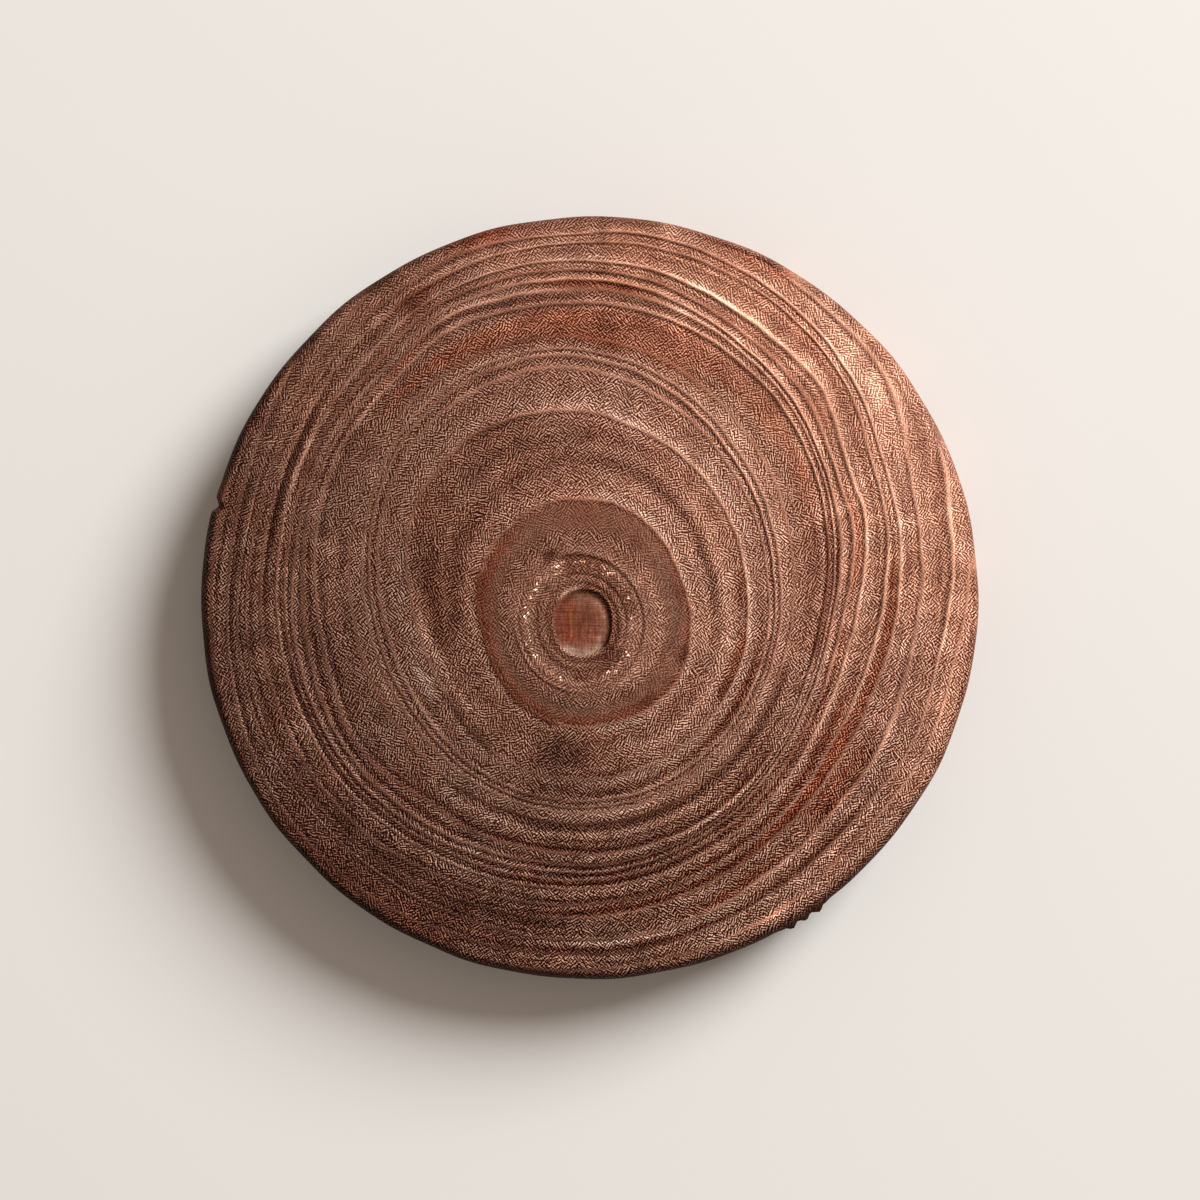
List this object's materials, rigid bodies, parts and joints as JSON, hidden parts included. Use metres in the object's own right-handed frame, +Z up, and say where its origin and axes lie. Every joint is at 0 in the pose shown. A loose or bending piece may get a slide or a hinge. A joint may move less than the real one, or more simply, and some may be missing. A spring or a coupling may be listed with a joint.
{
  "type": "wood slice",
  "caption": "Round slice of dark branch wood with a worn, ridged cut face, sunken pith and flat sawn underside.",
  "frame": {"origin": "on the surface the slice lies on, under the middle of its round outline", "axes": "+Z up out of the ridged cut face; +X to the right and +Y to the top of the slice as seen from above"},
  "size_m": [0.1998, 0.1962, 0.0241],
  "materials": {
    "wood": "satin"
  },
  "bodies": {
    "root": {"wood_slice": "wood"}
  },
  "joints": []
}
